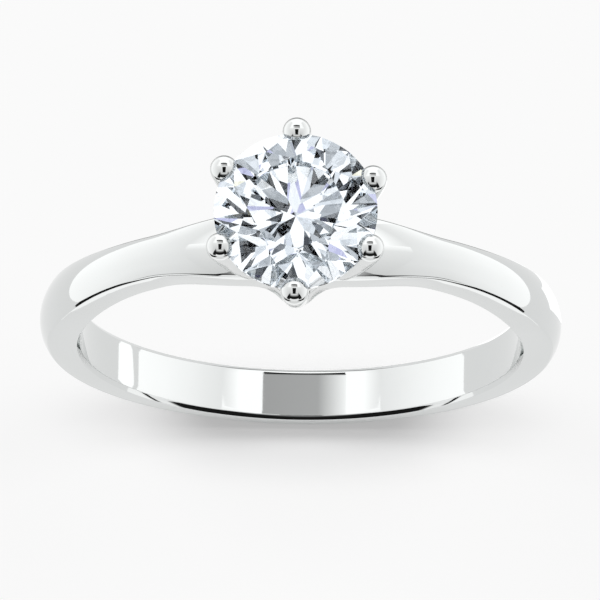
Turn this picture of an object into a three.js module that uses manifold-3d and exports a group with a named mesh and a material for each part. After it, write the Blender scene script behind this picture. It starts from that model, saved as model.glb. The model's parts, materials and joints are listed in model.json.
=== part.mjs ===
// A six-claw solitaire engagement ring, built the way a bench jeweller builds one: a D-section shank, two tapered
// shoulders and a bridge under the head close the finger hole, six claw wires stand in sockets in the bridge, two
// gallery rails brace them, and a round brilliant sits in a seat cut in the claws.
// Millimetres, +Z up. The finger axis is +Y, and the origin is under the base of the shank, which is at z = 0.
import * as THREE from "three";
import { mergeVertices } from "three/addons/utils/BufferGeometryUtils.js";
import Module from "manifold-3d";

const wasm = await Module();
wasm.setup();

const { PI, sin, cos, tan, asin, min, max } = Math;
const radians = THREE.MathUtils.degToRad;

// ---------------------------------------------------------------- driving sizes
const fingerHoleDiameter = 17.3;

// The band. An angle around it is counted from the horizontal: -90 at the base, +90 under the stone.
const baseThickness = 1.35; // wall at the base, at the middle of the dome
const shoulderThickness = 1.6; // wall at the shoulders, at the middle of the dome
const baseSideHeight = 0.72; // flat side at the base
const shoulderSideHeight = 1.24; // flat side at the shoulders
const baseWidth = 2.1; // width along the finger at the base
const waistWidth = 1.75; // the narrowest width, part way up the shoulders
const flareWidth = 0.385; // how much further each side stands out under the head
const bellWidth = 0.93; // and further again, in a bell, to meet the front and back claws
const bellSpread = 0.93; // distance along the band over which the bell dies away
const insideEdgeRadius = 0.14; // comfort rounding where the sides meet the finger hole
const thickenFrom = -80;
const thickenTo = 15;
const waistFrom = 14;
const waistTo = 48;
const flareFrom = 54;
const flareTo = 77;

// Where the band is divided into pieces, and the solder gap left at each joint.
const shankEndAngle = 12;
const shoulderEndAngle = 72;
const solderGap = 0.02;

// The stone: a round brilliant in the usual proportions, as shares of its diameter or as facet angles.
const stoneDiameter = 6.3;
const girdleThickness = 0.2;
const tableShare = 0.59;
const crownAngle = 34.5;
const pavilionAngle = 41;
const starShare = 0.52;
const lowerHalfShare = 0.77;
const stoneTurn = 5.4; // how far the facets are turned from the band's own axes

// The claws, by angle around the stone from +X. They are set by eye, so they aren't quite evenly spaced.
const clawAngles = { right_back: 24, back: 90, left_back: 149, left_front: 207, front: 270, right_front: 333 };
const clawTipRadius = 0.55;
const clawNeckRadius = 0.46;
const clawFootRadius = 0.5;
const clawTipOverhang = 0.09; // tip's centre outside the girdle
const clawTipRise = 0.06; // tip's centre above the middle of the girdle
const clawFootReach = 2.05; // foot's centre from the stone's axis
const clawBow = 0.16; // how far the wire bows outwards between foot and tip
const socketDepth = 0.45;
const seatClearance = 0.015;

// The gallery rails, round wires let into the inside of the claws.
const railWire = 0.62;
const railLetIn = 0.24; // how deep a rail sits in the claws
const railClearance = 0.06; // between the upper rail and the stone
const lowerRailShare = 0.34; // height of the lower rail, as a share of the claws' height

// The bridge under the head: an arch in line with the band, with a lobe under each claw and a light hole.
const culetClearance = 0.56; // from the bridge's dome to the stone's point
const lobeWall = 0.14; // metal around a claw foot
const lobeUndercut = 0.85; // height over which a lobe draws in below
const lightHoleDiameter = 1.9;

// ---------------------------------------------------------------- places worked out from those
const fingerHoleRadius = fingerHoleDiameter / 2;
const centreHeight = fingerHoleRadius + baseThickness;
const shoulderCrownRadius = fingerHoleRadius + shoulderThickness;
const stoneRadius = stoneDiameter / 2;
const pavilionDepth = girdleThickness / 2 + stoneRadius * tan(radians(pavilionAngle));
const bridgeTopZ = centreHeight + shoulderCrownRadius;
const girdleZ = bridgeTopZ + culetClearance + pavilionDepth;
const clawFootZ = bridgeTopZ - socketDepth;
const clawTipZ = girdleZ + clawTipRise;
const clawTipReach = stoneRadius + clawTipOverhang;

const ringSteps = { shank: 52, shoulder: 14, bridge: 20 };
const domeSteps = 6;
const edgeSteps = 3;
const wireSides = 16;
const railSteps = 40;
const girdleSides = 64;

const ease = (t) => {
  const u = min(max(t, 0), 1);
  return u * u * (3 - 2 * u);
};
const between = (from, to, t) => from + (to - from) * t;

// ---------------------------------------------------------------- solids and meshes
function solidOf(geometry) {
  const bare = geometry.clone();
  bare.deleteAttribute("normal");
  bare.deleteAttribute("uv");
  const merged = mergeVertices(bare, 1e-4);
  return new wasm.Manifold(
    new wasm.Mesh({
      numProp: 3,
      vertProperties: new Float32Array(merged.attributes.position.array),
      triVerts: new Uint32Array(merged.index.array),
    }),
  );
}

function geometryOf(solid) {
  const mesh = solid.getMesh();
  const geometry = new THREE.BufferGeometry();
  geometry.setAttribute("position", new THREE.BufferAttribute(new Float32Array(mesh.vertProperties), 3));
  geometry.setIndex(new THREE.BufferAttribute(new Uint32Array(mesh.triVerts), 1));
  geometry.computeVertexNormals();
  return geometry;
}

// A closed skin over rings of points, each ring the same length. The ends are closed by a fan, or joined up.
function loft(rings, joinEnds = false) {
  const count = rings[0].length;
  const points = rings.flat();
  const faces = [];
  const spans = joinEnds ? rings.length : rings.length - 1;
  for (let i = 0; i < spans; i++) {
    const near = i * count;
    const far = ((i + 1) % rings.length) * count;
    for (let j = 0; j < count; j++) {
      const k = (j + 1) % count;
      faces.push(near + j, near + k, far + k, near + j, far + k, far + j);
    }
  }
  if (!joinEnds) {
    for (const [ring, flip] of [
      [0, true],
      [rings.length - 1, false],
    ]) {
      const middle = points.length;
      const sum = rings[ring].reduce((a, p) => a.clone().add(p), new THREE.Vector3());
      points.push(sum.divideScalar(count));
      for (let j = 0; j < count; j++) {
        const a = ring * count + j;
        const b = ring * count + ((j + 1) % count);
        faces.push(...(flip ? [middle, b, a] : [middle, a, b]));
      }
    }
  }
  const geometry = new THREE.BufferGeometry().setFromPoints(points);
  geometry.setIndex(faces);
  const solid = solidOf(geometry);
  if (solid.volume() > 0) return solid;
  for (let i = 0; i < faces.length; i += 3) [faces[i], faces[i + 1]] = [faces[i + 1], faces[i]];
  geometry.setIndex(faces);
  return solidOf(geometry);
}

// ---------------------------------------------------------------- the band
function halfWidth(angle) {
  const tapered = between(baseWidth, waistWidth, ease((angle - waistFrom) / (waistTo - waistFrom))) / 2;
  const flare = flareWidth * ease((angle - flareFrom) / (flareTo - flareFrom));
  if (angle < flareFrom) return tapered;
  const aside = (shoulderCrownRadius * cos(radians(angle))) / bellSpread;
  return tapered + flare + bellWidth / (1 + aside ** 3);
}

const thicken = (angle) => ease((angle - thickenFrom) / (thickenTo - thickenFrom));
const crownRadius = (angle) => fingerHoleRadius + between(baseThickness, shoulderThickness, thicken(angle));
const sideRadius = (angle) => fingerHoleRadius + between(baseSideHeight, shoulderSideHeight, thicken(angle));

// The band's section at an angle: [along the finger, from the centre of the hole], once round.
function bandSection(half, side, crown) {
  const section = [];
  for (let i = 0; i <= edgeSteps; i++) {
    const a = (i / edgeSteps) * (PI / 2);
    section.push([
      half - insideEdgeRadius * (1 - sin(a)),
      fingerHoleRadius + insideEdgeRadius * (1 - cos(a)),
    ]);
  }
  // The dome is the arc through both side edges and the crown.
  const rise = crown - side;
  const radius = (half * half + rise * rise) / (2 * rise);
  const spread = asin(half / radius);
  for (let i = 0; i <= domeSteps; i++) {
    const a = between(spread, -spread, i / domeSteps);
    section.push([radius * sin(a), crown - radius * (1 - cos(a))]);
  }
  for (let i = 0; i <= edgeSteps; i++) {
    const a = (1 - i / edgeSteps) * (PI / 2);
    section.push([
      -(half - insideEdgeRadius * (1 - sin(a))),
      fingerHoleRadius + insideEdgeRadius * (1 - cos(a)),
    ]);
  }
  return section;
}

// A stretch of the band on the +X side, from one angle to another. Past 90 degrees it runs on down the -X side.
function bandStretch(from, to, steps) {
  const rings = [];
  for (let i = 0; i <= steps; i++) {
    const turn = between(from, to, i / steps);
    const angle = turn > 90 ? 180 - turn : turn < -90 ? -180 - turn : turn;
    const a = radians(turn);
    rings.push(
      bandSection(halfWidth(angle), sideRadius(angle), crownRadius(angle)).map(
        ([y, r]) => new THREE.Vector3(r * cos(a), y, centreHeight + r * sin(a)),
      ),
    );
  }
  return loft(rings);
}

const gapAngle = (solderGap / shoulderCrownRadius / PI) * 180;
const shank = () => bandStretch(-180 - shankEndAngle, shankEndAngle, ringSteps.shank);
const rightShoulder = () => bandStretch(shankEndAngle + gapAngle, shoulderEndAngle - gapAngle, ringSteps.shoulder);
const leftShoulder = () =>
  bandStretch(180 - shoulderEndAngle + gapAngle, 180 - shankEndAngle - gapAngle, ringSteps.shoulder);

// ---------------------------------------------------------------- the stone
// A cylinder as thick as the girdle and tall enough for both points, cut facet by facet.
function stone() {
  const upper = girdleThickness / 2;
  const table = tableShare * stoneRadius;
  const tableEdge = table * cos(radians(22.5));
  const tableZ = upper + (stoneRadius - table) * tan(radians(crownAngle));
  const bezelZ = (r, turn) => upper + (stoneRadius - r * cos(radians(turn))) * tan(radians(crownAngle));
  const mainZ = (r, turn) => -upper - (stoneRadius - r * cos(radians(turn))) * tan(radians(pavilionAngle));
  const starTip = tableEdge + starShare * (stoneRadius - tableEdge);
  const lowerTip = (1 - lowerHalfShare) * stoneRadius;
  const at = (r, turn, z) => new THREE.Vector3(r * cos(radians(turn)), r * sin(radians(turn)), z);

  const blank = new THREE.CylinderGeometry(stoneRadius, stoneRadius, stoneDiameter * 2, girdleSides);
  blank.rotateX(PI / 2);
  let cut = solidOf(blank);
  // Keeps the side of the plane through three points that holds the stone's middle.
  const facet = (a, b, c) => {
    const normal = b.clone().sub(a).cross(c.clone().sub(a)).normalize();
    if (normal.dot(a) > 0) normal.negate();
    cut = cut.trimByPlane([normal.x, normal.y, normal.z], normal.dot(a));
  };
  facet(at(1, 0, tableZ), at(1, 120, tableZ), at(1, 240, tableZ));
  for (let k = 0; k < 8; k++) {
    const main = 45 * k + stoneTurn;
    const star = main + 22.5;
    facet(at(stoneRadius, main, upper), at(table, main, tableZ), at(starTip, star, bezelZ(starTip, 22.5)));
    facet(at(table, main, tableZ), at(table, main + 45, tableZ), at(starTip, star, bezelZ(starTip, 22.5)));
    facet(at(stoneRadius, main, -upper), at(0, 0, mainZ(0, 0)), at(lowerTip, star, mainZ(lowerTip, 22.5)));
    for (const corner of [main, main + 45]) {
      facet(
        at(stoneRadius, corner, upper),
        at(stoneRadius, star, upper),
        at(starTip, star, bezelZ(starTip, 22.5)),
      );
      facet(
        at(stoneRadius, corner, -upper),
        at(stoneRadius, star, -upper),
        at(lowerTip, star, mainZ(lowerTip, 22.5)),
      );
    }
  }
  return cut.translate([0, 0, girdleZ]);
}

// The space that the claws leave for the stone: its outline turned about its axis, and a little larger.
function stoneSeat() {
  const r = stoneRadius + seatClearance;
  const upper = girdleThickness / 2 + seatClearance;
  const profile = [
    new THREE.Vector2(0, -upper - r * tan(radians(pavilionAngle))),
    new THREE.Vector2(r, -upper),
    new THREE.Vector2(r, upper),
    new THREE.Vector2(r * tableShare, upper + r * (1 - tableShare) * tan(radians(crownAngle))),
    new THREE.Vector2(0, upper + r * (1 - tableShare) * tan(radians(crownAngle))),
  ];
  const geometry = new THREE.LatheGeometry(profile, girdleSides);
  geometry.rotateX(PI / 2);
  return solidOf(geometry).translate([0, 0, girdleZ]);
}

// ---------------------------------------------------------------- the claws
// A claw wire stands in the plane through the stone's axis: [from the axis, height] and radius at a share of its length.
function clawPoint(share) {
  return new THREE.Vector2(
    between(clawFootReach, clawTipReach, share) + clawBow * sin(PI * share),
    between(clawFootZ, clawTipZ, share),
  );
}

function clawRadius(share) {
  const half = 0.5;
  return share < half
    ? between(clawFootRadius, clawNeckRadius, ease(share / half))
    : between(clawNeckRadius, clawTipRadius, ease((share - half) / half));
}

// A round wire through the points, in the plane of the axis, turned to its claw's angle. grow adds to its radius.
function clawWire(angle, grow = 0) {
  const steps = 10;
  const domes = 4;
  const rings = [];
  const ring = (share, along, radius) => {
    const centre = clawPoint(share);
    const ahead = clawPoint(share + 0.01).sub(clawPoint(share - 0.01)).normalize();
    const points = [];
    for (let j = 0; j < wireSides; j++) {
      const a = (j / wireSides) * 2 * PI;
      const out = radius * cos(a);
      const reach = centre.x + ahead.x * along + ahead.y * out;
      const z = centre.y + ahead.y * along - ahead.x * out;
      const aside = radius * sin(a);
      const c = cos(radians(angle));
      const s = sin(radians(angle));
      points.push(new THREE.Vector3(reach * c - aside * s, reach * s + aside * c, z));
    }
    rings.push(points);
  };
  ring(0, -grow, clawRadius(0) + grow);
  for (let i = 1; i <= steps; i++) ring(i / steps, 0, clawRadius(i / steps) + grow);
  for (let i = 1; i < domes; i++) {
    const a = (i / domes) * (PI / 2);
    ring(1, (clawTipRadius + grow) * sin(a), (clawTipRadius + grow) * cos(a));
  }
  return loft(rings);
}

// ---------------------------------------------------------------- the rails
// A rail sits against the inside of the claws: its radius at a share of the claws' height.
const railReach = (share) => clawPoint(share).x - clawRadius(share) - railWire / 2 + railLetIn;

// The upper rail is as high as it can be with its wire clear of the pavilion.
function upperRailShare() {
  let share = 1;
  const slope = radians(pavilionAngle);
  const gap = () =>
    (railReach(share) - stoneRadius) * sin(slope) +
    (girdleZ - girdleThickness / 2 - clawPoint(share).y) * cos(slope);
  while (gap() < railWire / 2 + railClearance) share -= 0.002;
  return share;
}

function rail(share, grow = 0) {
  const geometry = new THREE.TorusGeometry(railReach(share), railWire / 2 + grow, 10, railSteps);
  return solidOf(geometry).translate([0, 0, clawPoint(share).y]);
}

// ---------------------------------------------------------------- the bridge
// A lobe under a claw: a stub on the claw's own axis that draws in underneath, down to the arch.
function lobe(angle) {
  const outer = clawFootRadius + lobeWall;
  const foot = clawFootReach;
  const low = clawFootZ - lobeUndercut;
  const high = bridgeTopZ + 0.04;
  const rings = [];
  const steps = 6;
  for (let i = 0; i <= steps; i++) {
    const t = i / steps;
    const z = between(low, high, t);
    const reach = foot - 0.75 * (1 - ease(t));
    const radius = outer * (0.8 + 0.2 * ease(t));
    const points = [];
    for (let j = 0; j < wireSides; j++) {
      const a = (j / wireSides) * 2 * PI;
      const x = reach + radius * cos(a);
      const y = radius * sin(a);
      const c = cos(radians(angle));
      const s = sin(radians(angle));
      points.push(new THREE.Vector3(x * c - y * s, x * s + y * c, z));
    }
    rings.push(points);
  }
  return loft(rings);
}

function bridge() {
  let made = bandStretch(shoulderEndAngle, 180 - shoulderEndAngle, ringSteps.bridge);
  for (const angle of Object.values(clawAngles)) made = made.add(lobe(angle));
  const fingerHole = new THREE.CylinderGeometry(fingerHoleRadius, fingerHoleRadius, fingerHoleDiameter, 240);
  made = made.subtract(solidOf(fingerHole).translate([0, 0, centreHeight]));
  const lightHole = new THREE.CylinderGeometry(
    lightHoleDiameter / 2,
    lightHoleDiameter / 2,
    2 * shoulderCrownRadius,
    40,
  );
  lightHole.rotateX(PI / 2);
  made = made.subtract(solidOf(lightHole).translate([0, 0, centreHeight + shoulderCrownRadius]));
  for (const angle of Object.values(clawAngles)) made = made.subtract(clawWire(angle, solderGap));
  return made;
}

// ---------------------------------------------------------------- the assembly
const whiteGold = () => new THREE.MeshStandardMaterial({ color: 0xdfe0e0, roughness: 0.08, metalness: 1 });
const diamond = () => new THREE.MeshStandardMaterial({ color: 0xf4f7fb, roughness: 0, metalness: 0 });

const ring = new THREE.Group();
function place(name, solid, material) {
  const mesh = new THREE.Mesh(geometryOf(solid), material);
  mesh.name = name;
  ring.add(mesh);
}

place("shank", shank(), whiteGold());
place("right_shoulder", rightShoulder(), whiteGold());
place("left_shoulder", leftShoulder(), whiteGold());
place("bridge", bridge(), whiteGold());
place("lower_gallery_rail", rail(lowerRailShare), whiteGold());
place("upper_gallery_rail", rail(upperRailShare()), whiteGold());
const seat = stoneSeat();
const rails = rail(lowerRailShare, solderGap).add(rail(upperRailShare(), solderGap));
for (const [name, angle] of Object.entries(clawAngles))
  place(`claw_${name}`, clawWire(angle).subtract(seat).subtract(rails), whiteGold());
place("diamond", stone(), diamond());

export default ring;
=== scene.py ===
"""A six-claw solitaire ring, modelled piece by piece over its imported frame.

Metres, +Z up, finger along Y.
"""

import json
import math

import bmesh
import bpy
import numpy as np
from bpy.props import FloatProperty, PointerProperty, StringProperty
from mathutils import Matrix, Vector

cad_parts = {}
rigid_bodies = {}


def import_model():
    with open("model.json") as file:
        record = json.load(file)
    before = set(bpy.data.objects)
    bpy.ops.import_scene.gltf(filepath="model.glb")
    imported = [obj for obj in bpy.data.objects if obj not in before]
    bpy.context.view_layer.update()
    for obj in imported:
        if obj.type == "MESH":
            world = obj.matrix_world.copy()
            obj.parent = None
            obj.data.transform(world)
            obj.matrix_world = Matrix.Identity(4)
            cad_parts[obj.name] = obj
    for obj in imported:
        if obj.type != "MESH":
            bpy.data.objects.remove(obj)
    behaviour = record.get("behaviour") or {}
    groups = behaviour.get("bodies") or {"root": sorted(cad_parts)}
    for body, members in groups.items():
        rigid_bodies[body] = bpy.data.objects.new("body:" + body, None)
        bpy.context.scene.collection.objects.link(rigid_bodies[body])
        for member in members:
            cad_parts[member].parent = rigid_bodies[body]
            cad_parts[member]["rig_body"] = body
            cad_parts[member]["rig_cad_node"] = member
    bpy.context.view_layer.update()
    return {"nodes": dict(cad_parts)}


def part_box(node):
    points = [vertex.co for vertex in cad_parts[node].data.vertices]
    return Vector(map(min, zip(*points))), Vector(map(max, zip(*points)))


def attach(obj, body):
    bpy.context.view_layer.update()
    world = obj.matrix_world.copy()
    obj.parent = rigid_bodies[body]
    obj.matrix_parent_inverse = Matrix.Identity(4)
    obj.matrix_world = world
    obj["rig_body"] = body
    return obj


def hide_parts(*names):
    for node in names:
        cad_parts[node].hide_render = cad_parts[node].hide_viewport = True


bl_info = {
    "name": "Solitaire Ring",
    "version": (1, 0, 0),
    "blender": (4, 5, 0),
    "location": "3D View > Sidebar > Ring",
    "description": "Models a six-claw solitaire and its studio over the packed frame",
    "category": "Add Mesh",
}

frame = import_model()
MM = 0.001
SAME_POINT = 0.5e-6  # vertices nearer than this are one
DIAMOND_IOR = 2.42
PAPER_GLOW = 0.44  # what the paper gives of its own light where the ring stands
LAMP_SHARE = 0.515  # what the lamps add to that where nothing shades it
BACKDROP_GLOW = 0.955  # as bright as lit paper
BACKDROP_RADIUS = 0.7
LAMP_HEIGHT = math.radians(53)  # above the horizon
LAMP_TURN = math.radians(74)  # from straight behind
LAMP_SPREAD = math.radians(30)
LAMP_ENERGY = 1.05
WORLD_GLOW = 0.05

# The claws, by angle around the stone from +X, as they stand in the frame.
CLAW_ANGLES = {
    "right_back": 24,
    "back": 90,
    "left_back": 149,
    "left_front": 207,
    "front": 270,
    "right_front": 333,
}


def length(name, description, millimetres):
    """A size that a user may change, shown in scene units."""
    return FloatProperty(
        name=name,
        description=description,
        default=millimetres * MM,
        min=0,
        precision=5,
        unit="LENGTH",
    )


def angle(name, description, degrees):
    """An angle that a user may change."""
    return FloatProperty(
        name=name, description=description, default=math.radians(degrees), subtype="ANGLE"
    )


def colour(name, description, code):
    """A colour written the way a swatch book gives it."""
    return StringProperty(name=name, description=description, default=code)


class BandSizes(bpy.types.PropertyGroup):
    """The band, from the base up to the bridge under the stone."""

    hole: length("Finger hole", "Radius of the finger hole", 8.65)
    base_wall: length("Base wall", "Wall at the base, at the middle of the dome", 1.35)
    shoulder_wall: length("Shoulder wall", "Wall at the shoulders, at the middle of the dome", 1.6)
    base_side: length("Base side", "Height of the flat side at the base", 0.72)
    shoulder_side: length("Shoulder side", "Height of the flat side at the shoulders", 1.24)
    base_half: length("Base half width", "Half the width at the base", 1.05)
    waist_half: length("Waist half width", "Half the width where the shoulders are narrowest", 0.875)
    flare: length("Flare", "How far each side stands out again towards the head", 0.385)
    bell: length("Bell", "How far each side swells to meet the front and back claws", 0.93)
    bell_spread: length("Bell spread", "Distance along the band over which the bell dies away", 0.93)
    comfort: length("Inside edge", "Width of the soft bevel where the sides meet the finger hole", 0.16)
    corner: length("Outside edge", "Width of the bevel where the flat sides meet the dome", 0.08)
    crisp: length("Crispness", "How far each edge of a bevel is rounded", 0.016)
    light_hole: length("Light hole", "Radius of the hole under the stone", 0.95)


class HeadSizes(bpy.types.PropertyGroup):
    """The claws and gallery rails, measured from the stone's girdle."""

    foot_reach: length("Foot reach", "Claw foot's centre from the stone's axis", 2.05)
    tip_reach: length("Tip reach", "Claw tip's centre from the stone's axis", 3.24)
    tip_rise: length("Tip rise", "Claw tip's centre above the girdle", 0.06)
    bow: length("Bow", "How far the claw bows outwards", 0.16)
    foot_radius: length("Foot radius", "Claw wire's radius at its foot", 0.5)
    neck_radius: length("Neck radius", "Claw wire's radius at its waist", 0.46)
    tip_radius: length("Tip radius", "Radius of the rounded tip", 0.545)
    foot_drop: length("Foot drop", "Claw foot below the girdle", 3.85)
    rail_wire: length("Rail wire", "Radius of the gallery rails' wire", 0.3)


class Finishes(bpy.types.PropertyGroup):
    """Colours of the finishes."""

    gold: colour("White gold", "Rhodium-plated white gold, seen straight on", "#DADCDC")
    gold_worn: colour("White gold, thin plate", "The same where the plating is thinnest", "#D6D8D7")
    paper: colour("Backdrop", "The paper that the ring stands on", "#F4F4F4")


class StudioSizes(bpy.types.PropertyGroup):
    """The camera and the light tent."""

    elevation: angle("Elevation", "How far above the horizon the camera looks from", 71.3)
    azimuth: angle("Azimuth", "How far round to the right the camera stands", 3.2)
    roll: angle("Roll", "How far the camera is turned about its own axis", -2.5)
    distance: length("Camera distance", "From the camera to the ring", 600)
    lens: FloatProperty(name="Lens", description="Focal length in millimetres", default=917)
    tent_half: length("Tent half width", "From the ring to each side wall of the tent", 36)
    tent_height: length("Tent height", "Height of the tent's roof", 90)
    tent_front: length("Tent front", "From the ring to the front wall", 70)
    tent_back: length("Tent back", "From the ring to the back wall", 70)


# ---------------------------------------------------------------- helpers


def linear(code):
    """An sRGB hex colour as linear red, green, blue, alpha."""
    parts = [int(code[i : i + 2], 16) / 255 for i in (1, 3, 5)]
    return tuple(c / 12.92 if c <= 0.04045 else ((c + 0.055) / 1.055) ** 2.4 for c in parts) + (1,)


def ease(t):
    """0 to 1 with level ends."""
    t = min(max(t, 0), 1)
    return t * t * (3 - 2 * t)


def between(low, high, t):
    """The value a share t of the way from low to high."""
    return low + (high - low) * t


def add(tree, kind, inputs=None, **settings):
    """Adds a node. settings are its own properties.

    inputs are its sockets, each a value or another node's output.
    """
    node = tree.nodes.new(kind)
    for name, value in settings.items():
        setattr(node, name, value)
    for name, value in (inputs or {}).items():
        if isinstance(value, bpy.types.NodeSocket):
            tree.links.new(value, node.inputs[name])
        else:
            node.inputs[name].default_value = value
    return node


def new_material(name):
    """An empty node material and its tree."""
    material = bpy.data.materials.new(name)
    material.use_nodes = True
    material.node_tree.nodes.clear()
    return material, material.node_tree


def clear_selection():
    """Leaves nothing selected and no object in edit mode."""
    if bpy.context.mode != "OBJECT":
        bpy.ops.object.mode_set(mode="OBJECT")
    bpy.ops.object.select_all(action="DESELECT")


def pick(piece):
    """Makes piece the only selected object, and the active one."""
    clear_selection()
    piece.select_set(True)
    bpy.context.view_layer.objects.active = piece


def settle(piece, name, material, smooth=35):
    """Applies a piece's place, turns its faces outwards, smooths it and gives it its finish."""
    pick(piece)
    piece.name = name
    piece.data.name = name
    bpy.ops.object.transform_apply(location=True, rotation=True, scale=True)
    bpy.ops.object.mode_set(mode="EDIT")
    bpy.ops.mesh.select_all(action="SELECT")
    bpy.ops.mesh.normals_make_consistent(inside=False)
    bpy.ops.object.mode_set(mode="OBJECT")
    bpy.ops.object.shade_smooth_by_angle(angle=math.radians(smooth))
    piece.data.materials.clear()
    piece.data.materials.append(material)


def place_ring(piece, points):
    """Moves the selected vertices of a piece in edit mode onto points, in their order around the ring."""
    mesh = bmesh.from_edit_mesh(piece.data)
    chosen = [v for v in mesh.verts if v.select]
    start = min(chosen, key=lambda v: v.index)
    ordered = [start]
    seen = {start}
    while True:
        ahead = [
            e.other_vert(ordered[-1])
            for e in ordered[-1].link_edges
            if e.other_vert(ordered[-1]).select and e.other_vert(ordered[-1]) not in seen
        ]
        if not ahead:
            break
        step = min(ahead, key=lambda v: v.index)
        ordered.append(step)
        seen.add(step)
    for vertex, point in zip(ordered, points):
        vertex.co = point
    bmesh.update_edit_mesh(piece.data)


def cut(piece, cutter, operation="DIFFERENCE"):
    """Cuts piece with cutter, which is then thrown away."""
    pick(piece)
    modifier = piece.modifiers.new("cut", "BOOLEAN")
    modifier.operation = operation
    modifier.object = cutter
    modifier.solver = "EXACT"
    bpy.ops.object.modifier_apply(modifier=modifier.name)
    bpy.data.objects.remove(cutter)


def girdle_height():
    """Height of the middle of the stone's girdle, from the stone's own node."""
    co = np.array([v.co[:] for v in frame["nodes"]["diamond"].data.vertices])
    reach = np.hypot(co[:, 0], co[:, 1])
    rim = co[reach > reach.max() - 0.02 * MM]
    return float(rim[:, 2].min() + rim[:, 2].max()) / 2


# ---------------------------------------------------------------- the band


def band_half_width(sizes, turn, aside):
    """Half the band's width at an angle in degrees from the horizontal.

    aside is the distance in metres from the middle of the head.
    """
    half = between(sizes.base_half, sizes.waist_half, ease((turn - 14) / 34))
    if turn > 40:
        half += sizes.flare * ease((turn - 54) / 23)
        half += sizes.bell / (1 + (aside / sizes.bell_spread) ** 3)
    return half


def softened(before, corner, after, reach):
    """Four points that round a corner of an outline, from reach before it to reach after it."""
    start = corner + (before - corner).normalized() * reach
    end = corner + (after - corner).normalized() * reach
    return [start.lerp(corner, t).lerp(corner.lerp(end, t), t) for t in (0, 1 / 3, 2 / 3, 1)]


def band_section(sizes, turn, aside):
    """The band's outline at an angle, once round from inside the hole.

    Each point is (along the finger, from the hole's centre).
    """
    steepest, least_drop = 1.08, 0.15
    thick = ease((turn + 80) / 95)
    half = band_half_width(sizes, turn, aside)
    crown = sizes.hole + between(sizes.base_wall, sizes.shoulder_wall, thick)
    side = sizes.hole + between(sizes.base_side, sizes.shoulder_side, thick)
    rise = crown - side
    radius = (half * half + rise * rise) / (2 * rise)
    meet = math.asin((half - sizes.corner) / radius)
    # The bevel is held at one slant, a little steeper than 45 degrees, however flat the dome is.
    drop = sizes.corner * max(least_drop, steepest - math.tan(math.asin(half / radius)))

    def dome(a):
        return Vector((radius * math.sin(a), crown - radius * (1 - math.cos(a))))

    # The corners of the outline: both ends of the inside bevel, then both ends of the outside one.
    inner = Vector((half - sizes.comfort, sizes.hole))
    foot = Vector((half, sizes.hole + 0.75 * sizes.comfort))
    brow = Vector((half, side - drop))
    rim = dome(meet)
    points = [Vector((inner.x * i / 5, sizes.hole)) for i in range(5)]
    points += softened(points[0], inner, foot, sizes.crisp)
    points += softened(inner, foot, brow, sizes.crisp)
    # The side leans in a little towards its top, where the wheel rolls over the edge.
    lean = 0.3 * (brow.y - foot.y)
    points += [Vector((half, brow.y - lean * (3 - i) / 2)) for i in range(2)]
    brow.x -= 0.05 * lean
    points += softened(Vector((half, brow.y - lean / 2)), brow, rim, sizes.crisp)
    points += softened(brow, rim, dome(meet * 0.9), sizes.crisp)
    points += [dome(meet * 0.94 * (1 - i / 11)) for i in range(12)]
    return points + [Vector((-point.x, point.y)) for point in reversed(points[1:-1])]


class RING_OT_band(bpy.types.Operator):
    """Spins the band's section about the finger, then gives each angle its own width and wall"""

    bl_idname = "ring.band"
    bl_label = "Band"

    def execute(self, context):
        sizes = context.scene.ring_band
        centre = sizes.hole + sizes.base_wall
        base = band_section(sizes, -90, 0)
        clear_selection()
        bpy.ops.mesh.primitive_circle_add(vertices=len(base), radius=MM)
        piece = context.active_object
        bpy.ops.object.mode_set(mode="EDIT")
        place_ring(piece, [Vector((0, y, centre - r)) for y, r in base])
        bpy.ops.mesh.spin(steps=480, angle=2 * math.pi, center=(0, 0, centre), axis=(0, 1, 0))
        bpy.ops.mesh.select_all(action="SELECT")
        bpy.ops.mesh.remove_doubles(threshold=SAME_POINT)
        bpy.ops.object.mode_set(mode="OBJECT")

        mesh = piece.data
        co = np.array([v.co[:] for v in mesh.vertices])
        out = np.hypot(co[:, 0], co[:, 2] - centre)
        plan = np.array(base)
        which = np.hypot(co[:, 1, None] - plan[None, :, 0], out[:, None] - plan[None, :, 1]).argmin(1)
        turns = np.round(np.degrees(np.arctan2(co[:, 2] - centre, co[:, 0])), 3)
        for turn in np.unique(turns):
            way = math.radians(turn)
            up = math.degrees(math.asin(max(-1.0, min(1.0, math.sin(way)))))
            aside = abs(math.cos(way)) * (sizes.hole + sizes.shoulder_wall)
            section = np.array(band_section(sizes, up, aside))
            here = np.flatnonzero(turns == turn)
            y, r = section[which[here]].T
            co[here] = np.stack([r * math.cos(way), y, centre + r * math.sin(way)], 1)
        mesh.vertices.foreach_set("co", co.ravel())
        mesh.update()

        # The hole under the stone lets light in from behind.
        clear_selection()
        bpy.ops.mesh.primitive_cylinder_add(
            vertices=96,
            radius=sizes.light_hole,
            depth=4 * sizes.shoulder_wall,
            location=(0, 0, centre + sizes.hole + sizes.shoulder_wall / 2),
        )
        cut(piece, context.active_object)
        settle(piece, "band", polished_gold())
        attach(piece, "root")
        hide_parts("shank", "right_shoulder", "left_shoulder", "bridge")
        return {"FINISHED"}


# ---------------------------------------------------------------- the head


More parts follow.
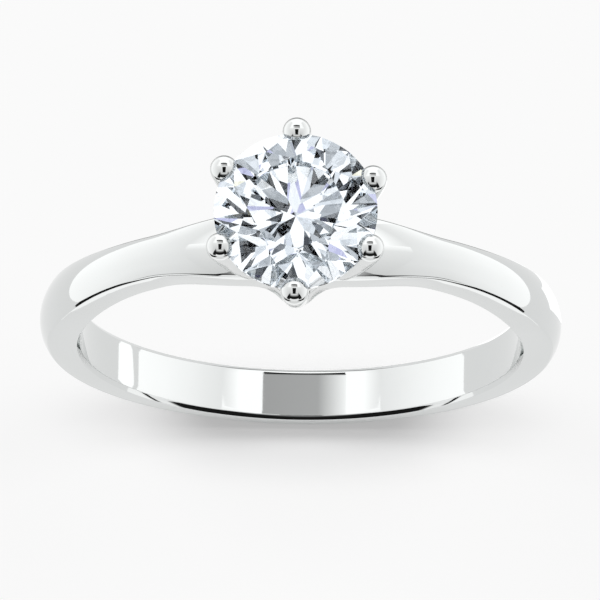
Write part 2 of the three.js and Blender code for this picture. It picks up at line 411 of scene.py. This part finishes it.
def claw_station(sizes, girdle, share):
    """The claw wire's centre (from the axis, height) at a share of its length.

    Below 0 it roots into the band, drawing in as it goes.
    """
    root_curl = 6.4 * MM
    top = girdle + sizes.tip_rise
    bottom = girdle - sizes.foot_drop
    if share >= 0:
        reach = between(sizes.foot_reach, sizes.tip_reach, share) + sizes.bow * math.sin(math.pi * share)
        return Vector((reach, 0, between(bottom, top, share)))
    slope = (sizes.tip_reach - sizes.foot_reach + sizes.bow * math.pi) * share
    reach = sizes.foot_reach + slope - root_curl * share * share
    return Vector((reach, 0, between(bottom, top, share)))


def claw_radius(sizes, share):
    """The claw wire's radius at a share of its length."""
    if share < 0:
        return sizes.foot_radius * (1 + share * 0.6)
    if share < 0.5:
        return between(sizes.foot_radius, sizes.neck_radius, ease(share * 2))
    return between(sizes.neck_radius, sizes.tip_radius, ease(share * 2 - 1))


def ring_points(centre, ahead, radius, sides):
    """Points of a circle about a direction that lies in the XZ plane."""
    across = Vector((ahead.z, 0, -ahead.x))
    return [
        centre
        + across * (radius * math.cos(2 * math.pi * j / sides))
        + Vector((0, radius * math.sin(2 * math.pi * j / sides), 0))
        for j in range(sides)
    ]


class RING_OT_claws(bpy.types.Operator):
    """Draws one claw wire from its root to its rounded tip, copies it round the stone and cuts its seat"""

    bl_idname = "ring.claws"
    bl_label = "Claws"

    def execute(self, context):
        sizes = context.scene.ring_head
        girdle = girdle_height()
        sides = 32
        step = 0.01
        stations = []
        for i in range(37):
            share = between(-0.2, 1, i / 36)
            centre = claw_station(sizes, girdle, share)
            ahead = claw_station(sizes, girdle, share + step) - claw_station(sizes, girdle, share - step)
            ahead.normalize()
            stations.append((centre, ahead, claw_radius(sizes, share)))
        tip, ahead, radius = stations[-1]
        for i in range(1, 10):
            a = math.radians(9.9 * i)
            stations.append((tip + ahead * radius * math.sin(a), ahead, radius * math.cos(a)))

        clear_selection()
        bpy.ops.mesh.primitive_circle_add(vertices=sides, radius=MM, fill_type="NGON")
        template = context.active_object
        bpy.ops.object.mode_set(mode="EDIT")
        place_ring(template, ring_points(*stations[0], sides))
        for station in stations[1:]:
            bpy.ops.mesh.extrude_region_move()
            place_ring(template, ring_points(*station, sides))
        bpy.ops.mesh.merge(type="CENTER")
        bpy.ops.object.mode_set(mode="OBJECT")

        for name, turn in CLAW_ANGLES.items():
            pick(template)
            bpy.ops.object.duplicate()
            claw = context.active_object
            claw.rotation_euler = (0, 0, math.radians(turn))
            settle(claw, "claw_wire_" + name, polished_gold())
            cut(claw, self.seat_cutter(context))
            bpy.ops.object.shade_smooth_by_angle(angle=math.radians(35))
            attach(claw, "root")
            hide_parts("claw_" + name)
        bpy.data.objects.remove(template)
        return {"FINISHED"}

    def seat_cutter(self, context):
        """A copy of the stone, a hair larger, that cuts its own seat."""
        pick(frame["nodes"]["diamond"])
        bpy.ops.object.duplicate()
        cutter = context.active_object
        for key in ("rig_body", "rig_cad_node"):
            if key in cutter:
                del cutter[key]
        cutter.parent = None
        bpy.ops.object.mode_set(mode="EDIT")
        bpy.ops.mesh.select_all(action="SELECT")
        bpy.ops.mesh.remove_doubles(threshold=SAME_POINT)
        larger = 1.006
        bpy.ops.transform.resize(value=(larger,) * 3, center_override=(0, 0, girdle_height()))
        bpy.ops.object.mode_set(mode="OBJECT")
        return cutter


class RING_OT_rails(bpy.types.Operator):
    """Spins the two gallery rails about the stone's axis"""

    bl_idname = "ring.rails"
    bl_label = "Gallery rails"

    def execute(self, context):
        wire_radius = context.scene.ring_head.rail_wire
        for name in ("upper_gallery_rail", "lower_gallery_rail"):
            low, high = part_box(name)
            reach = high[0] - wire_radius
            height = (low[2] + high[2]) / 2
            # The wire is a little flat on its inner side, where it was filed level with the claws.
            wire = []
            for j in range(28):
                a = 2 * math.pi * j / 28
                depth = 0.8 if math.cos(a) < 0 else 1
                wire.append(
                    Vector(
                        (
                            reach + wire_radius * depth * math.cos(a),
                            0,
                            height + wire_radius * math.sin(a),
                        )
                    )
                )
            clear_selection()
            bpy.ops.mesh.primitive_circle_add(vertices=len(wire), radius=MM)
            rail = context.active_object
            bpy.ops.object.mode_set(mode="EDIT")
            place_ring(rail, wire)
            bpy.ops.mesh.spin(steps=144, angle=2 * math.pi, center=(0, 0, 0), axis=(0, 0, 1))
            bpy.ops.mesh.select_all(action="SELECT")
            bpy.ops.mesh.remove_doubles(threshold=SAME_POINT)
            bpy.ops.object.mode_set(mode="OBJECT")
            settle(rail, name + "_wire", satin_gold())
            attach(rail, "root")
            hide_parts(name)
        return {"FINISHED"}


class RING_OT_stone(bpy.types.Operator):
    """Gives the frame's own stone, whose facets are already cut, the finish of a polished diamond"""

    bl_idname = "ring.stone"
    bl_label = "Stone"

    def execute(self, context):
        stone = frame["nodes"]["diamond"]
        stone.data.materials.clear()
        stone.data.materials.append(cut_diamond())
        return {"FINISHED"}


# ---------------------------------------------------------------- finishes


def gold(name, low, high, swell):
    """White gold under rhodium: a neutral, nearly mirror-bright metal.

    The buff leaves its gloss a little uneven, and the surface very slightly wavy, which bends long
    reflections.
    """
    if name in bpy.data.materials:
        return bpy.data.materials[name]
    finishes = bpy.context.scene.ring_finishes
    material, tree = new_material(name)
    place = add(tree, "ShaderNodeTexCoord").outputs["Object"]
    # Buffed patches are 2 to 3 mm across.
    patches = add(tree, "ShaderNodeTexNoise", {"Vector": place, "Scale": 1 / (2.5 * MM), "Detail": 3})
    # Hair lines from the last mop, 0.15 mm apart, drawn out along the band.
    drawn = add(tree, "ShaderNodeMapping", {"Vector": place, "Scale": (0.15, 1, 0.15)})
    hairs = add(
        tree,
        "ShaderNodeTexNoise",
        {"Vector": drawn.outputs["Vector"], "Scale": 1 / (0.15 * MM), "Detail": 4, "Roughness": 0.6},
    )
    tone = add(
        tree,
        "ShaderNodeMix",
        {
            "Factor": patches.outputs["Fac"],
            "A": linear(finishes.gold),
            "B": linear(finishes.gold_worn),
        },
        data_type="RGBA",
    )
    gloss = add(
        tree,
        "ShaderNodeMapRange",
        {"Value": hairs.outputs["Fac"], "From Min": 0.3, "From Max": 0.7, "To Min": low, "To Max": high},
    )
    waves = add(
        tree,
        "ShaderNodeBump",
        {"Height": patches.outputs["Fac"], "Strength": 1.0, "Distance": swell},
    )
    surface = add(
        tree,
        "ShaderNodeBsdfPrincipled",
        {
            "Base Color": tone.outputs[2],
            "Metallic": 1.0,
            "Roughness": gloss.outputs["Result"],
            "Normal": waves.outputs["Normal"],
        },
    )
    add(tree, "ShaderNodeOutputMaterial", {"Surface": surface.outputs["BSDF"]})
    return material


def polished_gold():
    """Mop-polished, for the band and claws."""
    return gold("rhodium_plated_white_gold_polished", 0.03, 0.06, 1.5e-6)


def satin_gold():
    """Tumble-polished only, where a mop can't reach: the same metal with a softer gloss."""
    return gold("rhodium_plated_white_gold_tumbled", 0.1, 0.18, 3e-6)


def cut_diamond():
    """Polished diamond: clear, with a very high index, so light that enters the top mostly leaves by the top.

    Faint growth zones, under 1 mm across, cool its white here and there.
    """
    material, tree = new_material("diamond_faceted_and_polished")
    place = add(tree, "ShaderNodeTexCoord").outputs["Object"]
    zones = add(tree, "ShaderNodeTexNoise", {"Vector": place, "Scale": 1 / (0.8 * MM), "Detail": 2})
    tone = add(
        tree,
        "ShaderNodeMix",
        {"Factor": zones.outputs["Fac"], "A": linear("#FFFFFF"), "B": linear("#FAFCFE")},
        data_type="RGBA",
    )
    # Light that is already inside is turned back by every facet it meets too flatly. Light from outside loses
    # less to the first facet's glare than a real stone's would, as if seen under a polarising screen.
    clear = {"Color": tone.outputs[2], "Roughness": 0.0, "IOR": DIAMOND_IOR}
    inside = add(tree, "ShaderNodeBsdfGlass", clear)
    entering = add(tree, "ShaderNodeBsdfRefraction", clear)
    glare = add(tree, "ShaderNodeBsdfAnisotropic", {"Color": (1, 1, 1, 1), "Roughness": 0.0})
    sheen = add(tree, "ShaderNodeFresnel", {"IOR": 1.2})
    outside = add(
        tree,
        "ShaderNodeMixShader",
        {0: sheen.outputs["Fac"], 1: entering.outputs["BSDF"], 2: glare.outputs["BSDF"]},
    )
    geometry = add(tree, "ShaderNodeNewGeometry")
    surface = add(
        tree,
        "ShaderNodeMixShader",
        {0: geometry.outputs["Backfacing"], 1: outside.outputs["Shader"], 2: inside.outputs["BSDF"]},
    )
    add(tree, "ShaderNodeOutputMaterial", {"Surface": surface.outputs["Shader"]})
    return material


def paper():
    """Matt white paper with no shine.

    It glows with painted light of its own as well, more so away from where the ring stands, and there its own
    colour is darker in step, so a shadow on it is deep at the ring's foot and soon fades. Lit by the lamps
    and its own painted glow, it is the same white all over.
    """
    material, tree = new_material("matt_white_paper")
    # The shadow's reach: half its length across the ring and half its length in front, in millimetres.
    across, ahead = 9, 3.1
    faintest = 0.16
    place = add(tree, "ShaderNodeTexCoord").outputs["Object"]
    spread = add(
        tree,
        "ShaderNodeVectorMath",
        {0: place, 1: (1 / (across * MM), 1 / (ahead * MM), 0)},
        operation="MULTIPLY",
    )
    away = add(tree, "ShaderNodeVectorMath", {0: spread.outputs["Vector"]}, operation="LENGTH")
    fade = add(
        tree,
        "ShaderNodeMapRange",
        {
            "Value": away.outputs["Value"],
            "From Min": 0.45,
            "From Max": 1.3,
            "To Min": 1.0,
            "To Max": faintest,
        },
        interpolation_type="SMOOTHSTEP",
    )
    # Painted light: away from the ring the paper's colour darkens and its painted glow rises, so the lamps'
    # shadow fades out.
    white = linear(bpy.context.scene.ring_finishes.paper)
    tone = add(
        tree,
        "ShaderNodeMix",
        {"Factor": fade.outputs["Result"], "A": (0, 0, 0, 1), "B": white},
        data_type="RGBA",
    )
    glow = add(
        tree,
        "ShaderNodeMapRange",
        {
            "Value": fade.outputs["Result"],
            "From Min": 0.0,
            "From Max": 1.0,
            "To Min": PAPER_GLOW + LAMP_SHARE,
            "To Max": PAPER_GLOW,
        },
    )
    surface = add(
        tree,
        "ShaderNodeBsdfPrincipled",
        {
            "Base Color": tone.outputs[2],
            "Roughness": 1.0,
            "Specular IOR Level": 0.0,
            "Emission Color": (1, 1, 1, 1),
            "Emission Strength": glow.outputs["Result"],
        },
    )
    add(tree, "ShaderNodeOutputMaterial", {"Surface": surface.outputs["BSDF"]})
    return material


def fill_ramp(ramp, stops):
    """Gives a colour ramp its stops, each (place, linear colour)."""
    elements = ramp.color_ramp.elements
    elements.remove(elements[-1])
    for i, (place, tone) in enumerate(stops):
        element = elements[0] if i == 0 else elements.new(place)
        element.position = place
        element.color = tone


def lit_cloth(name, level, *falls):
    """Tent cloth that glows.

    Each fall is (axis, start, end, stops): how the glow changes along an axis, in millimetres, as
    (share of the way, share of the level).
    """
    material, tree = new_material(name)
    place = add(tree, "ShaderNodeTexCoord").outputs["Object"]
    split = add(tree, "ShaderNodeSeparateXYZ", {"Vector": place})
    strength = level
    for axis, start, end, stops in falls:
        share = add(
            tree,
            "ShaderNodeMapRange",
            {"Value": split.outputs[axis], "From Min": start * MM, "From Max": end * MM},
        )
        ramp = add(tree, "ShaderNodeValToRGB", {"Fac": share.outputs["Result"]})
        fill_ramp(ramp, [(at, (part, part, part, 1)) for at, part in stops])
        product = add(tree, "ShaderNodeMath", {0: strength, 1: ramp.outputs["Color"]}, operation="MULTIPLY")
        strength = product.outputs["Value"]
    glow = add(tree, "ShaderNodeEmission", {"Strength": strength})
    add(tree, "ShaderNodeOutputMaterial", {"Surface": glow.outputs["Emission"]})
    return material


def backdrop_cloth():
    """Pale cloth, evenly lit, of which only the inner side shows."""
    material, tree = new_material("backdrop_cloth")
    glow = add(tree, "ShaderNodeEmission", {"Strength": BACKDROP_GLOW})
    clear = add(tree, "ShaderNodeBsdfTransparent")
    geometry = add(tree, "ShaderNodeNewGeometry")
    surface = add(
        tree,
        "ShaderNodeMixShader",
        {0: geometry.outputs["Backfacing"], 1: clear.outputs["BSDF"], 2: glow.outputs["Emission"]},
    )
    add(tree, "ShaderNodeOutputMaterial", {"Surface": surface.outputs["Shader"]})
    return material


def sparkle_cloth(height):
    """A patchwork of white, grey and black, with a little blue, violet and straw.

    The stone breaks it up into its flashes. height is the stone's own.
    """
    turned = (2.4, 1.1, 0.7)
    patches_across = 5.5
    glow_strength = 1.3
    material, tree = new_material("patchwork_cloth")
    place = add(tree, "ShaderNodeTexCoord").outputs["Object"]
    centred = add(tree, "ShaderNodeMapping", {"Vector": place, "Location": (0, 0, -height)})
    way = add(tree, "ShaderNodeVectorMath", {0: centred.outputs["Vector"]}, operation="NORMALIZE")
    spun = add(tree, "ShaderNodeMapping", {"Vector": way.outputs["Vector"], "Rotation": turned})
    patches = add(tree, "ShaderNodeTexVoronoi", {"Vector": spun.outputs["Vector"], "Scale": patches_across})
    split = add(tree, "ShaderNodeSeparateColor", {"Color": patches.outputs["Color"]})
    ramp = add(tree, "ShaderNodeValToRGB", {"Fac": split.outputs["Red"]})
    ramp.color_ramp.interpolation = "CONSTANT"
    swatches = (
        (0.0, "#040405"),
        (0.17, "#4E5157"),
        (0.23, "#A2A6AA"),
        (0.35, "#D2D6DA"),
        (0.47, "#F0F2F4"),
        (0.58, "#FFFFFF"),
        (0.95, "#CFE3F6"),
        (0.975, "#B4B4D2"),
        (0.99, "#F1EDD8"),
    )
    fill_ramp(ramp, [(start, linear(code)) for start, code in swatches])
    glow = add(tree, "ShaderNodeEmission", {"Color": ramp.outputs["Color"], "Strength": glow_strength})
    add(tree, "ShaderNodeOutputMaterial", {"Surface": glow.outputs["Emission"]})
    return material


# ---------------------------------------------------------------- the studio


def hide_from(piece, *kinds):
    """Keeps a studio piece out of these kinds of ray."""
    for kind in kinds:
        setattr(piece, "visible_" + kind, False)


def level_card(name, box, height, material):
    """A card that lies level: box is its low X, high X, low Y and high Y, in millimetres."""
    left, right, near, far = box
    corners = [(left, near), (right, near), (right, far), (left, far)]
    return card(name, [(x, y, height) for x, y in corners], material)


def upright_card(name, x, box, material):
    """A card of a side wall at x: box is its low Y, high Y, low Z and high Z, in millimetres."""
    near, far, low, high = box
    return card(name, [(x, near, low), (x, far, low), (x, far, high), (x, near, high)], material)


def card(name, corners, material):
    """A flat card of the light tent. Only reflections see it."""
    clear_selection()
    bpy.ops.mesh.primitive_plane_add(size=2 * MM)
    sheet = bpy.context.active_object
    sheet.name = name
    bpy.ops.object.mode_set(mode="EDIT")
    place_ring(sheet, [Vector(c) * MM for c in corners])
    bpy.ops.object.mode_set(mode="OBJECT")
    sheet.data.materials.append(material)
    hide_from(sheet, "camera", "diffuse", "transmission", "shadow", "volume_scatter")
    return sheet


class RING_OT_studio(bpy.types.Operator):
    """Sets the paper floor, the camera, the soft light from behind and the light tent's cards"""

    bl_idname = "ring.studio"
    bl_label = "Studio"

    def execute(self, context):
        scene = context.scene
        studio = scene.ring_studio
        band = scene.ring_band
        centre = band.hole + band.base_wall

        clear_selection()
        bpy.ops.mesh.primitive_plane_add(size=6)
        floor = context.active_object
        floor.name = "paper_floor"
        floor.data.materials.append(paper())

        flat = math.cos(studio.elevation)
        away = Vector(
            (math.sin(studio.azimuth) * flat, -math.cos(studio.azimuth) * flat, math.sin(studio.elevation))
        )
        turn = away.to_track_quat("Z", "Y").to_matrix() @ Matrix.Rotation(studio.roll, 3, "Z")
        # The finger hole's centre stands a little below the middle of the view.
        target = Vector((0, 0, centre)) + turn @ Vector((-0.024, 0.978, 0)) * MM
        bpy.ops.object.camera_add(location=target + away * studio.distance)
        camera = context.active_object
        camera.rotation_euler = turn.to_euler()
        camera.data.sensor_width = 36
        camera.data.lens = studio.lens
        camera.data.clip_start = 0.01
        camera.data.clip_end = 10
        scene.camera = camera

        self.lights(context, centre)
        self.tent(studio)
        scene.view_settings.view_transform = "Standard"
        scene.cycles.max_bounces = 24
        scene.cycles.glossy_bounces = 16
        scene.cycles.transmission_bounces = 20
        scene.cycles.caustics_reflective = False
        scene.cycles.caustics_refractive = False
        scene.cycles.sample_clamp_indirect = 6
        return {"FINISHED"}

    def lights(self, context, centre):
        """A little light from all round, and two soft lamps behind the ring, one to each side."""
        world = bpy.data.worlds.new("studio_air")
        context.scene.world = world
        world.use_nodes = True
        world.node_tree.nodes.clear()
        glow = add(world.node_tree, "ShaderNodeBackground", {"Color": (1, 1, 1, 1), "Strength": WORLD_GLOW})
        add(world.node_tree, "ShaderNodeOutputWorld", {"Surface": glow.outputs["Background"]})
        for side, tag in ((-1, "left"), (1, "right")):
            turned = side * LAMP_TURN
            flat = math.cos(LAMP_HEIGHT)
            aim = Vector((flat * math.sin(turned), flat * math.cos(turned), math.sin(LAMP_HEIGHT)))
            bpy.ops.object.light_add(type="SUN", location=Vector((0, 0, centre)) + aim * 0.4)
            lamp = context.active_object
            lamp.name = "back_lamp_" + tag
            lamp.rotation_euler = aim.to_track_quat("Z", "Y").to_euler()
            lamp.data.angle = LAMP_SPREAD
            lamp.data.energy = LAMP_ENERGY
            hide_from(lamp, "glossy", "transmission")

        # A pale backdrop beyond the paper, as bright as the paper is.
        clear_selection()
        bpy.ops.mesh.primitive_uv_sphere_add(segments=64, ring_count=32, radius=BACKDROP_RADIUS)
        backdrop = context.active_object
        backdrop.name = "backdrop"
        backdrop.data.materials.append(backdrop_cloth())
        hide_from(backdrop, "diffuse", "glossy", "transmission", "shadow")

    def tent(self, studio):
        """White walls close to the ring, a dark slot in the roof for the lens, and dark bands in front.

        Lengths here are in millimetres from the ring's middle, and from the paper up.
        """
        half = studio.tent_half / MM
        high = studio.tent_height / MM
        front = -studio.tent_front / MM
        back = studio.tent_back / MM
        slot = 17  # half the lens slot's width
        slot_front, slot_back = -62, 4
        shelf = 45  # height where the side walls change cloth
        corner = -34  # where the side walls stop and the front corners start
        upper = 19  # how far back the roof's slotted part reaches
        seam_right, seam_back = 31, 52
        seam_front = 17
        deep = (1, corner, 13, [(0, 0.76), (0.5, 0.93), (1, 1)])
        white = lit_cloth("tent_white_cloth", 1.45)
        grey = lit_cloth("tent_grey_cloth", 0.45)
        dark = lit_cloth("tent_black_cloth", 0.01)
        bright = lit_cloth("front_paper", 1.25)
        rise = [(0, 0.98), (0.3, 0.94), (0.55, 0.88), (0.75, 0.82), (1, 0.77)]
        wall = lit_cloth("tent_wall_cloth", 1.45, (2, 0, shelf, rise), deep)
        brow = lit_cloth("tent_upper_cloth", 1.45, (1, corner, upper, [(0, 0.59), (0.8, 0.77), (1, 1)]))
        rising = lit_cloth("tent_back_cloth", 1.45, (2, shelf, 60, [(0, 0.77), (1, 1)]))
        roof = lit_cloth("tent_roof_cloth", 1.1, (1, front, 10, [(0, 0.5), (0.3, 0.85), (1, 1)]))
        # The front is black only from 25 to 50, so that a low view finds white in the band's flat sides.
        top = [(0.56, 0.01), (0.75, 0.45), (0.9, 0.85), (1, 1)]
        face = lit_cloth("tent_front_cloth", 1.15, (2, 0, high, [(0, 1), (0.24, 1), (0.28, 0.01), *top]))
        # The corners are black from 9 to 49.
        top = [(0.54, 0.01), *top[1:]]
        nook = lit_cloth("tent_corner_cloth", 1.15, (2, 0, high, [(0, 1), (0.07, 1), (0.1, 0.01), *top]))
        seam = lit_cloth(
            "roof_seam_cloth",
            1.3,
            (0, -half, seam_right, [(0, 1), (0.35, 0.42), (1, 0.38)]),
            (1, seam_front, seam_back, [(0, 1), (0.52, 1), (0.6, 0.03), (1, 0.03)]),
        )
        for side, tag in ((-1, "left"), (1, "right")):
            x = side * half
            upright_card("tent_wall_" + tag, x, (corner, back, 0, shelf), wall)
            upright_card("tent_brow_" + tag, x, (corner, upper, shelf, high), brow)
            upright_card("tent_back_" + tag, x, (upper, back, shelf, high), rising)
            upright_card("tent_corner_" + tag, x, (front, corner, 0, high), nook)
            level_card("front_mat_" + tag, (side * 19, side * 38, -60, -14), 0.2, dark)
            level_card("tent_roof_" + tag, (x, side * slot, front, upper), high, roof)
        level_card("lens_slot", (-slot, slot, slot_front, slot_back), high, dark)
        level_card("roof_middle", (-slot, slot, slot_back, upper), high, roof)
        level_card("roof_front", (-slot, slot, front, slot_front), high, roof)
        level_card("roof_back", (-half, half, upper, back), high, white)
        level_card("roof_seam", (-half, seam_right, seam_front, seam_back), high - 1, seam)
        for name, y, cloth in (("tent_front", front, face), ("tent_back", back, white)):
            card(name, [(-half, y, 0), (half, y, 0), (half, y, high), (-half, y, high)], cloth)
        level_card("right_paper", (5, 20, 3.5, 8.5), 0.2, white)
        level_card("back_strip", (-13.5, 13.5, 11, 60), 0.4, grey)
        level_card("front_paper", (-17, 17, -20, -8.5), 0.1, bright)

        # The stone alone sees this patchwork, through its own facets.
        height = girdle_height()
        clear_selection()
        bpy.ops.mesh.primitive_uv_sphere_add(
            segments=48, ring_count=24, radius=half * MM, location=(0, 0, height)
        )
        globe = bpy.context.active_object
        globe.name = "patchwork_globe"
        bpy.ops.object.transform_apply(location=True)
        globe.data.materials.append(sparkle_cloth(height))
        hide_from(globe, "camera", "diffuse", "glossy", "shadow", "volume_scatter")


class RING_PT_panel(bpy.types.Panel):
    """The ring's pieces, in the order in which they are made"""

    bl_idname = "RING_PT_panel"
    bl_label = "Solitaire Ring"
    bl_space_type = "VIEW_3D"
    bl_region_type = "UI"
    bl_category = "Ring"

    def draw(self, context):
        for operator in (RING_OT_studio, RING_OT_band, RING_OT_claws, RING_OT_rails, RING_OT_stone):
            self.layout.operator(operator.bl_idname)
        for group in ("ring_band", "ring_head", "ring_finishes", "ring_studio"):
            box = self.layout.box()
            settings = getattr(context.scene, group)
            for name in settings.__annotations__:
                box.prop(settings, name)


GROUPS = {
    "ring_band": BandSizes,
    "ring_head": HeadSizes,
    "ring_finishes": Finishes,
    "ring_studio": StudioSizes,
}
CLASSES = (
    *GROUPS.values(),
    RING_OT_band,
    RING_OT_claws,
    RING_OT_rails,
    RING_OT_stone,
    RING_OT_studio,
    RING_PT_panel,
)


def register():
    for item in CLASSES:
        bpy.utils.register_class(item)
    for name, group in GROUPS.items():
        setattr(bpy.types.Scene, name, PointerProperty(type=group))


def unregister():
    for name in GROUPS:
        delattr(bpy.types.Scene, name)
    for item in reversed(CLASSES):
        bpy.utils.unregister_class(item)


def main():
    """Makes every piece in order."""
    register()
    bpy.ops.ring.studio()
    bpy.ops.ring.band()
    bpy.ops.ring.claws()
    bpy.ops.ring.rails()
    bpy.ops.ring.stone()


if __name__ == "__main__":
    main()
